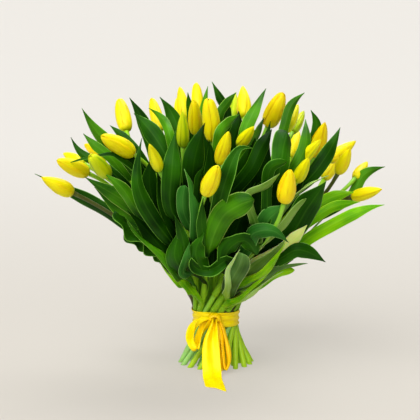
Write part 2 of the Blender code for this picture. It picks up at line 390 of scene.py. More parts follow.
def petal_finish(name, body, gold, flush, base_flush, rib_flush):
    """A petal: silky lengthwise strands, golden edges painted as shade in the seams between petals, green
    at its base and midrib.
    """
    material, tree = new_material(name)
    strands = use_group(tree, STRANDS, Across=26.0, Along=1.6)
    places = use_group(tree, PLACES, Edge=0.55, Rib=0.34, Base=base_flush, Tip=0.75)
    patches = use_group(tree, PATCHES, Size=14 * MM)
    # Painted shade: gold at the petals' edges darkens the seams between petals; strands and patches add
    # gold at random too
    seam_shade_and_tone = summed(tree, 0.0, (strands["Broad"], 0.3), (places["Edge"], 0.35),
                  (patches["Soft"], 0.25))
    rib = summed(tree, 0.0, (places["Rib"], rib_flush), (strands["Fine"], rib_flush * 0.3))
    rib = times(tree, rib, mapped(tree, places["Tip"], 0.0, 1.0, 1.0, 0.2))
    green = larger(tree, rib, times(tree, places["Base"], 0.8))
    colour = blended(tree, green, blended(tree, seam_shade_and_tone, body, gold), flush)
    rough = mapped(tree, strands["Fine"], 0.0, 1.0, 0.38, 0.52)
    return finished(material, colour, rough, strands["Fine"], 0.25, Subsurface_Weight=0.35,
                    Subsurface_Scale=3 * MM, Subsurface_Radius=(1.0, 0.8, 0.1),
                    Specular_IOR_Level=0.2)


def leaf_finish(name, dark, light, edge, glow, shine=0.2):
    """A leaf: close parallel veins, uneven depth of green with painted shade darkening it towards its base,
    a paler edge, partly its own and partly painted light shining through it, and a paler base.
    """
    material, tree = new_material(name)
    strands = use_group(tree, STRANDS, Across=34.0, Along=1.2)
    places = use_group(tree, PLACES, Base=0.16)
    # Painted shade: the green darkens towards the base, where the leaves lie deep in the bunch
    painted_base_shade = use_group(tree, PLACES, Base=0.75)["Base"]
    sheath = use_group(tree, PLACES, Base=0.34)["Base"]
    patches = use_group(tree, PATCHES, Size=45 * MM)
    shade = summed(tree, 0.0, (strands["Broad"], 0.28), (strands["Fine"], 0.12),
                   (patches["Soft"], 0.65), (painted_base_shade, -0.6))
    # A paler margin: partly the leaf's own paler edge, partly painted light shining through the thin margin
    pale = times(tree, places["Edge"], 0.85)
    pale = larger(tree, pale, times(tree, places["Base"], 0.25))
    pale = larger(tree, pale, times(tree, places["Rib"], 0.07))
    colour = blended(tree, pale, blended(tree, shade, dark, light), edge)
    colour = blended(tree, mapped(tree, sheath, 0.1, 0.8), colour, SHEATH_GREEN)
    rough = summed(tree, 0.34, (strands["Fine"], 0.12), (patches["Small"], 0.08))
    relief = summed(tree, strands["Fine"], (places["Rib"], -0.8))
    return finished(material, colour, rough, relief, 0.25, 0.4, IOR=1.3,
                    Specular_IOR_Level=shine, Subsurface_Weight=glow,
                    Subsurface_Scale=1.5 * MM, Subsurface_Radius=(0.5, 1.0, 0.05))


def stem_finish(name, pale, fresh):
    """A stem: smooth and juicy, pale near its foot, greener towards the leaves."""
    material, tree = new_material(name)
    strands = use_group(tree, STRANDS, Across=12.0, Along=5.0)
    patches = use_group(tree, PATCHES, Size=18 * MM)
    place = put(tree, "TexCoord").outputs["Object"]
    height = put(tree, "SeparateXYZ", Vector=place).outputs["Z"]
    share = summed(tree, mapped(tree, height, 15 * MM, 95 * MM), (strands["Broad"], 0.35),
                   (patches["Soft"], 0.25))
    colour = blended(tree, mapped(tree, share, 0.2, 1.2), pale, fresh)
    rough = mapped(tree, strands["Fine"], 0.0, 1.0, 0.34, 0.5)
    return finished(material, colour, rough, strands["Fine"], 0.2, 0.4, Subsurface_Weight=0.1,
                    Subsurface_Scale=2 * MM, Specular_IOR_Level=0.25)


def cut_finish():
    """A cut end: pale moist pith with darker dots of fibre."""
    material, tree = new_material("cut_end")
    dots = use_group(tree, PATCHES, Size=3 * MM)["Small"]
    colour = blended(tree, dots, (0.62, 0.72, 0.38), (0.34, 0.42, 0.16))
    return finished(material, colour, mapped(tree, dots, 0.0, 1.0, 0.3, 0.6), dots, 0.2, 1.0)


def satin_finish(name, body, gold):
    """Satin: a fine weave with floats along the ribbon and a soft lengthwise shine."""
    material, tree = new_material(name)
    strands = use_group(tree, STRANDS, Across=90.0, Along=3.0)
    edge = use_group(tree, PLACES)["Edge"]
    patches = use_group(tree, PATCHES, Size=12 * MM)
    share = summed(tree, 0.0, (strands["Broad"], 0.3), (patches["Soft"], 0.3), (edge, 0.08))
    rough = mapped(tree, strands["Fine"], 0.0, 1.0, 0.3, 0.45)
    return finished(material, blended(tree, share, body, gold), rough, strands["Fine"], 0.12,
                    Specular_IOR_Level=0.16, Anisotropic=0.4)


SHEATH_GREEN = (0.22, 0.46, 0.015)       # the pale foot of a leaf, like its stem
# Each kind of flower: its body, its edges' gold, painted shade for the seams between petals,
# its flush of green, how far up that reaches and how strong it is on the midrib.
PETALS = {kind: petal_finish(kind.replace("tulip", "petal"), *look) for kind, look in {
    "tulip_yellow": ((1.0, 0.88, 0.0), (1.0, 0.62, 0.0), (0.66, 0.70, 0.0), 0.12, 0.0),
    "tulip_gold": ((1.0, 0.78, 0.0), (0.98, 0.50, 0.0), (0.74, 0.60, 0.0), 0.10, 0.0),
    "tulip_fresh": ((0.98, 0.90, 0.0), (0.86, 0.70, 0.0), (0.42, 0.62, 0.0), 0.45, 0.45),
    "tulip_green": ((0.62, 0.74, 0.0), (0.66, 0.70, 0.0), (0.24, 0.48, 0.0), 0.55, 0.70),
}.items()}
# Each green of the leaves: its dark and its light depth, its edge, how far light soaks
# into it and, where it isn't the usual one, its shine.
LEAF_TONES = {tone: leaf_finish("leaf_" + tone, *look) for tone, look in {
    # inner: a near-black green that is painted shade, for the leaves that lie deep in the bunch
    "inner": ((0.0010, 0.010, 0.0), (0.0065, 0.044, 0.0), (0.07, 0.22, 0.010), 0.0, 0.06),
    "deep": ((0.0013, 0.022, 0.0), (0.021, 0.118, 0.0006), (0.20, 0.50, 0.050), 0.0, 0.14),
    "mid": ((0.005, 0.055, 0.0), (0.072, 0.275, 0.0020), (0.40, 0.66, 0.10), 0.1),
    "fresh": ((0.06, 0.28, 0.0), (0.32, 0.66, 0.0), (0.56, 0.80, 0.04), 0.5),
    "teal": ((0.006, 0.065, 0.003), (0.046, 0.225, 0.020), (0.30, 0.60, 0.14), 0.0),
    "shade": ((0.020, 0.070, 0.006), (0.105, 0.235, 0.045), (0.44, 0.64, 0.20), 0.1),
    # glow: a bright yellow-green that is painted light, as if the sun shone through the leaf
    "glow": ((0.58, 0.78, 0.14), (0.86, 0.96, 0.36), (0.90, 0.92, 0.50), 0.5),
    "pale": ((0.22, 0.42, 0.05), (0.46, 0.66, 0.22), (0.60, 0.78, 0.34), 0.3),
    "grey": ((0.050, 0.160, 0.008), (0.230, 0.400, 0.065), (0.44, 0.64, 0.20), 0.1),
}.items()}
STEM_MINT = stem_finish("stem_mint", (0.32, 0.61, 0.16), (0.25, 0.54, 0.028))
STEM_LIME = stem_finish("stem_lime", (0.41, 0.66, 0.016), (0.33, 0.64, 0.018))
STEM_DUSK = stem_finish("stem_dusk", (0.41, 0.66, 0.016), (0.076, 0.088, 0.014))
DUSKY = {27, 28, 34, 35}                 # the tulips whose stems are brown above the tie
CUT_END = cut_finish()
SATIN = satin_finish("ribbon_satin", (1.0, 0.83, 0.0), (1.0, 0.60, 0.0))
# A deeper gold copy of the same satin: painted shade for the pieces of the bow that lie in shadow, the
# knot, the right loop and the back tail
SATIN_PAINTED_SHADE = satin_finish("ribbon_painted_shade", (1.0, 0.70, 0.0), (0.92, 0.46, 0.0))


# Tulips

def rings_of(node):
    """A tulip solid's rings of points from its cut end to its tip: middles and radii."""
    mesh = frame["nodes"][node].data
    own = [tuple(round(value, 6) for value in vertex.co) for vertex in mesh.vertices]
    beside = {point: set() for point in own}
    for polygon in mesh.polygons:
        corners = {own[i] for i in polygon.vertices}
        for corner in corners:
            beside[corner] |= corners
    ring = {point for point in own if point[2] < 0.01 * MM}
    seen = set(ring)
    middles = []
    radii = []
    while ring:
        members = np.array(sorted(ring))
        middle = members.mean(axis=0)
        middles.append(middle)
        radii.append(np.linalg.norm(members - middle, axis=1).min())
        ring = set().union(*(beside[point] for point in ring)) - seen
        seen |= ring
    return middles, radii


class Tulip:
    """One tulip's measures, read from its solid."""

    BUD_RINGS = 7                        # the rings of the flower, with its tip

    def __init__(self, number):
        self.number = number
        self.node = f"tulip_{number:02d}"
        middles, radii = rings_of(self.node)
        foot, shoulder = middles[0], middles[1]
        stem = [foot, foot + (shoulder - foot) / 3, foot + (shoulder - foot) * 2 / 3]
        stem += middles[1:-self.BUD_RINGS]
        self.line = smooth_line(stem, STEM_RINGS)
        self.radius = radii[1]
        self.neck = radii[-self.BUD_RINGS - 1]
        self.base = stem[-1]
        self.axis = unit(middles[-1] - self.base)
        self.length = np.linalg.norm(middles[-1] - self.base)
        self.girth = 2 * max(radii[-self.BUD_RINGS:])

    def radius_at(self, share):
        return self.radius + (self.neck - self.radius) * smoothstep((share - 0.2) / 0.8)

    def at_height(self, height):
        """The stem's middle, direction and radius at a height."""
        step = np.searchsorted(self.line[:, 2], height, side="right")
        step = min(max(step, 1), STEM_RINGS - 2)
        below, above = self.line[step - 1], self.line[step]
        share = (height - below[2]) / (above[2] - below[2])
        middle = below + (above - below) * min(max(share, 0.0), 1.0)
        return middle, unit(above - below), self.radius_at(step / (STEM_RINGS - 1))


def add_stem(tulip):
    """A round stem that swells a little, flares under its flower and has a worn cut end."""
    line = tulip.line
    travels = directions(line)
    sides = carried(np.array((1.0, 0.0, 0.0)), travels)
    others = np.cross(travels, sides)
    shares = np.linspace(0, 1, STEM_RINGS)[:, None]
    draw = random.Random(tulip.number)
    swell = 1 + 0.035 * np.sin(shares * 9 + draw.uniform(0, 6))
    flare = 1 + 0.25 * smoothstep((shares - 0.955) / 0.045)
    radii = tulip.radius_at(shares) * swell * flare
    turns = np.linspace(0, math.tau, STEM_SIDES, endpoint=False)
    grid = grid_of(line[:, None], (sides[:, None], np.cos(turns) * radii),
                   (others[:, None], np.sin(turns) * radii))
    slant = travels[0] / travels[0][2]
    grid[0] -= slant * grid[0][:, 2:3]
    middle = grid[0].mean(axis=0)
    rim = middle + (grid[0] - middle) * (1 - CUT_BEVEL / radii[0])
    grid[0] += slant * CUT_BEVEL
    skin = Skin()
    skin.add_grid(np.concatenate((rim[None], grid)), ring=True)
    pith = middle + (rim - middle) * 0.5 + UP * 0.25 * MM
    first = skin.add_grid(np.stack((pith, rim)), ring=True, use=1)
    skin.points.append(tuple(middle + UP * 0.1 * MM))
    last = len(skin.points) - 1
    for step in range(STEM_SIDES):
        after = (step + 1) % STEM_SIDES
        skin.add_face((first + after, first + step, last), ((0, 0), (1, 0), (0.5, 1)), 1)
    top = tuple(range(STEM_SIDES * STEM_RINGS, STEM_SIDES * (STEM_RINGS + 1)))
    skin.add_face(top, tuple((0.5, 1.0) for _ in top))
    tone = STEM_MINT if line[0][0] < 0 else STEM_LIME
    if tulip.number in DUSKY:
        tone = STEM_DUSK
    stem = skin.make(f"stem_{tulip.number:02d}", [tone, CUT_END])
    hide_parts(tulip.node)


def fullness(along, blunt):
    """A closed flower's half width at a share of its length, from slim (0) to blunt (1)."""
    rise = (along / FULLEST) ** (0.42 - 0.14 * blunt)
    fall = ((1 - along) / (1 - FULLEST)) ** (0.92 - 0.48 * blunt)
    return rise * fall


# How each kind of flower opens: half of an outer petal's arc in degrees, how far the tips
# lean out, and how uneven the petals' lengths are.
OPENING = {
    "tulip_yellow": (72, 0.02, 0.05),
    "tulip_gold": (70, 0.02, 0.03),
    "tulip_fresh": (72, 0.01, 0.05),
    "tulip_green": (74, 0.0, 0.04),
}
# How blunt some tulips are, from slim (0) to a blunt barrel (1); the others vary.
BLUNT = {2: 1.0, 4: 0.7, 5: 1.0, 6: 0.8, 10: 0.9, 12: 0.6, 13: 0.4, 16: 0.0, 23: 0.8, 26: 0.7,
         28: 1.0, 29: 0.1, 30: 0.7, 31: 0.6}
# A flower's outer and inner petals: their turn in degrees, how much shorter they are, and
# their arc, girth and lean as shares of an outer petal's.
PETAL_LAYERS = ((0, 0.0, 1.0, 1.0, 1.0), (60, 0.02, 0.9, 0.93, 0.5))


def add_flower(tulip):
    """Three outer petals over three inner ones, closed round the flower's axis."""
    slot = SLOTS[tulip.node]
    half, open_tips, uneven = OPENING[slot]
    draw = random.Random(100 + tulip.number)
    blunt = BLUNT.get(tulip.number, draw.uniform(0.1, 0.5))
    side = unit(np.cross(tulip.axis, np.array((draw.uniform(-1, 1), draw.uniform(-1, 1), 0.3))))
    other = np.cross(tulip.axis, side)
    bend = (side * draw.uniform(-1, 1) + other * draw.uniform(-1, 1)) * 0.03 * tulip.length
    along = np.linspace(0, 1, PETAL_ROWS + 1)[:, None]
    across = np.linspace(-1, 1, PETAL_COLUMNS + 1)
    outline = np.where(along < 0.4, 0.72 + 0.28 * smoothstep(along / 0.4),
                       (1 - np.clip((along - 0.4) / 0.6, 0, 1) ** 5) ** 0.5)
    outline = np.maximum(outline, 0.03)
    seat = tulip.neck * 0.95 * np.clip(1 - along / 0.14, 0, 1)
    skin = Skin()
    for petal in range(6):
        first_turn, shorter, arc, girth, leaning_out = PETAL_LAYERS[petal // 3]
        middle = math.radians(120 * petal + first_turn + draw.uniform(-5, 5))
        reach = 1 - draw.uniform(0, uneven) - shorter
        half_arc = math.radians(half * draw.uniform(0.92, 1.05)) * arc
        body = tulip.girth / 2 * fullness(along * 0.9997, blunt) * girth
        lean = open_tips * draw.uniform(0.4, 1.4) * leaning_out
        body = np.hypot(body + tulip.girth / 2 * lean * along ** 4, seat)
        turn = middle + half_arc * outline * across
        wrap = 1 + 0.035 * across * smoothstep(along / 0.2)
        keel = 1 + 0.03 * np.cos(3 * turn) * smoothstep(along / 0.3)
        rib = 1 - 0.035 * np.exp(-(across / 0.10) ** 2) * smoothstep(along / 0.2)
        lift = draw.uniform(-0.03, 0.05), draw.uniform(-0.03, 0.05)
        lifted = np.where(across < 0, *lift) * np.abs(across) ** 3
        ripple = 0.02 * np.sin(along * draw.uniform(9, 15) + draw.uniform(0, 6))
        edge = 1 + (lifted + ripple * np.abs(across) ** 3) * smoothstep(along / 0.35)
        out = body * wrap * keel * rib * edge
        skin.add_grid(grid_of(tulip.base, (tulip.axis, tulip.length * reach * along),
                              (bend, along ** 2), (side, np.cos(turn) * out),
                              (other, np.sin(turn) * out)))
    flower = skin.make(f"flower_{tulip.number:02d}", [PETALS[slot]])
    thicken(flower, PETAL_THICKNESS)
    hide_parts(tulip.node)


# Leaves

def leaf_outline(along, opens, base_width, width, widest, rounded):
    """A tulip leaf's width: a sheath, its widest part way up, a long or a rounded point."""
    rise = base_width + (width - base_width) * smoothstep((along - opens) / (widest - opens))
    step = np.clip((along - widest) / (1 - widest), 0, 1)
    power, end = (2.4, 0.6) if rounded else (1.4, 1.3)
    fall = width * (1 - step ** power) ** end + 0.4 * MM * step
    return np.where(along < widest, rise, fall)


def beside_stem(tulip, height, outward, radius):
    """A point beside a stem at a height, and the way out from the stem there."""
    middle, up_stem, _ = tulip.at_height(height)
    outward = unit(square_to(up_stem, outward))
    return middle + outward * radius, outward


def leaf_line(tulip, start_height, tips):
    """The line of a leaf, from the foot of its sheath round the stem to its tip.

    With it come the way out from the stem at the foot, the share of the line that the
    sheath takes up, and the sheath's radius.
    """
    level = TIE[2] + start_height * MM
    middle, up_stem, stem_radius = tulip.at_height(level)
    through = [from_tie(*tip) for tip in tips]
    outward = square_to(up_stem, through[0] - middle)
    if np.linalg.norm(outward) < 4 * MM:
        outward = square_to(up_stem, middle * (1, 1, 0))
    outward = unit(outward)
    radius = stem_radius + SHEATH_GAP
    start = middle + outward * radius
    lowest = min(max(SHEATH_LOWEST, level - SHEATH_LENGTH), middle[2] - 5 * MM)
    foot, foot_outward = beside_stem(tulip, lowest, outward, radius)
    halfway = (tulip.at_height(lowest)[0][2] + middle[2]) / 2
    half, _ = beside_stem(tulip, halfway, outward, radius)
    line = smooth_line([foot, half, start] + through, LEAF_ROWS + 1)
    return line, foot_outward, min(np.linalg.norm(start - foot) / runs(line)[-1], 0.45), radius


def add_leaf(name, tulip, start_height, tips, width, widest, tone, turn=0, cup=15, wave=0.5,
             facing=FRONT, replaced=()):
    """A blade that sheathes a stem, leaves it and runs through the given points to its tip.

    start_height is where the blade leaves the stem, in mm above the tie. tips are leans to
    the right and the front in degrees with a distance in mm, seen from the tie. width is in
    mm, and widest the share of the blade where it has that width. facing is the way that
    its outer face looks, turned by so many degrees about the blade. cup is half of the arc
    across it in degrees, hollow to the inside, and wave is how far its edges go in and out,
    in mm.
    """
    draw = random.Random(name)
    line, foot_outward, opens, clasp_radius = leaf_line(tulip, start_height, tips)
    widest = opens + (1 - opens) * widest
    travels = directions(line)
    along = np.linspace(0, 1, LEAF_ROWS + 1)[:, None]
    opening = (along - opens) / (1 - opens)
    faces = carried(foot_outward, travels)
    acrosses = np.cross(travels, faces)
    angles = facing_angles(travels, faces, acrosses, facing, math.radians(turn))[:, None]
    twist = math.radians(draw.uniform(-26, 26))
    angles = angles * smoothstep(opening / 0.35) + twist * np.clip(opening, 0, 1)
    looks = faces * np.cos(angles) + acrosses * np.sin(angles)
    sides = np.cross(travels, looks)
    widths = leaf_outline(along, opens, 2 * clasp_radius * CLASP, width * MM, widest,
                          name.removeprefix("leaf_") in ROUNDED)
    arcs = CLASP + (math.radians(cup) - CLASP) * smoothstep(opening / 0.3)
    arcs = arcs * (1 + 0.35 * np.sin(5 * opening + draw.uniform(0, 6)) * smoothstep(opening / 0.4))
    arcs = np.where(np.abs(arcs) < 0.01, 0.01, arcs)
    across = np.linspace(-1, 1, LEAF_COLUMNS + 1)
    radii = widths / 2 / arcs
    fold = FOLD * draw.uniform(0.5, 1.5) * math.copysign(1, cup)
    ridge = fold * widths * (1 - np.sqrt(across ** 2 + 0.01)) * smoothstep((opening - 0.05) / 0.3)
    phase = np.where(across < 0, draw.uniform(0, 6), draw.uniform(0, 6))
    beats = draw.uniform(1.8, 3.0) + 0.5 * wave
    ripple = (wave + 1.0) * MM * np.sin(math.tau * beats * along + phase)
    free = np.clip(np.sin(math.pi * np.clip(opening, 0, 1)), 0, 1) ** 0.5
    ripple = ripple * np.abs(across) ** 1.6 * free
    turns = arcs * across
    grid = grid_of(line[:, None],
                   (looks[:, None], (np.cos(turns) - 1) * radii + ridge + ripple),
                   (sides[:, None], np.sin(turns) * radii))
    grid[:, :, 2] = np.maximum(grid[:, :, 2], 1 * MM)
    leaf = Skin(grid).make(name, [LEAF_TONES[tone]])
    thicken(leaf, LEAF_THICKNESS)
    if replaced:
        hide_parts(*replaced)


def facing_angles(travels, faces, acrosses, facing, turn):
    """How far the carried face turns about the blade at each row to look the given way.

    A blade that runs nearly that way itself keeps the angle that it has.
    """
    angles = []
    for travel, face, across in zip(travels, faces, acrosses):
        wanted = square_to(travel, facing)
        fresh = math.atan2(wanted.dot(across), wanted.dot(face)) + turn
        if angles:
            fresh += math.tau * round((angles[-1] - fresh) / math.tau)
            follows = 0.35 if np.linalg.norm(wanted) > 0.25 else 0
            fresh = angles[-1] + (fresh - angles[-1]) * follows
        elif fresh > math.pi:
            fresh -= math.tau
        angles.append(fresh)
    return np.array(angles)


# The front leaves whose tips are rounded
ROUNDED = {"heart", "cupped", "pale_curl", "curly", "curl_low", "wavy_front", "flat_top",
           "flat_piece", "fold_right", "curved_right", "low_right_line"}

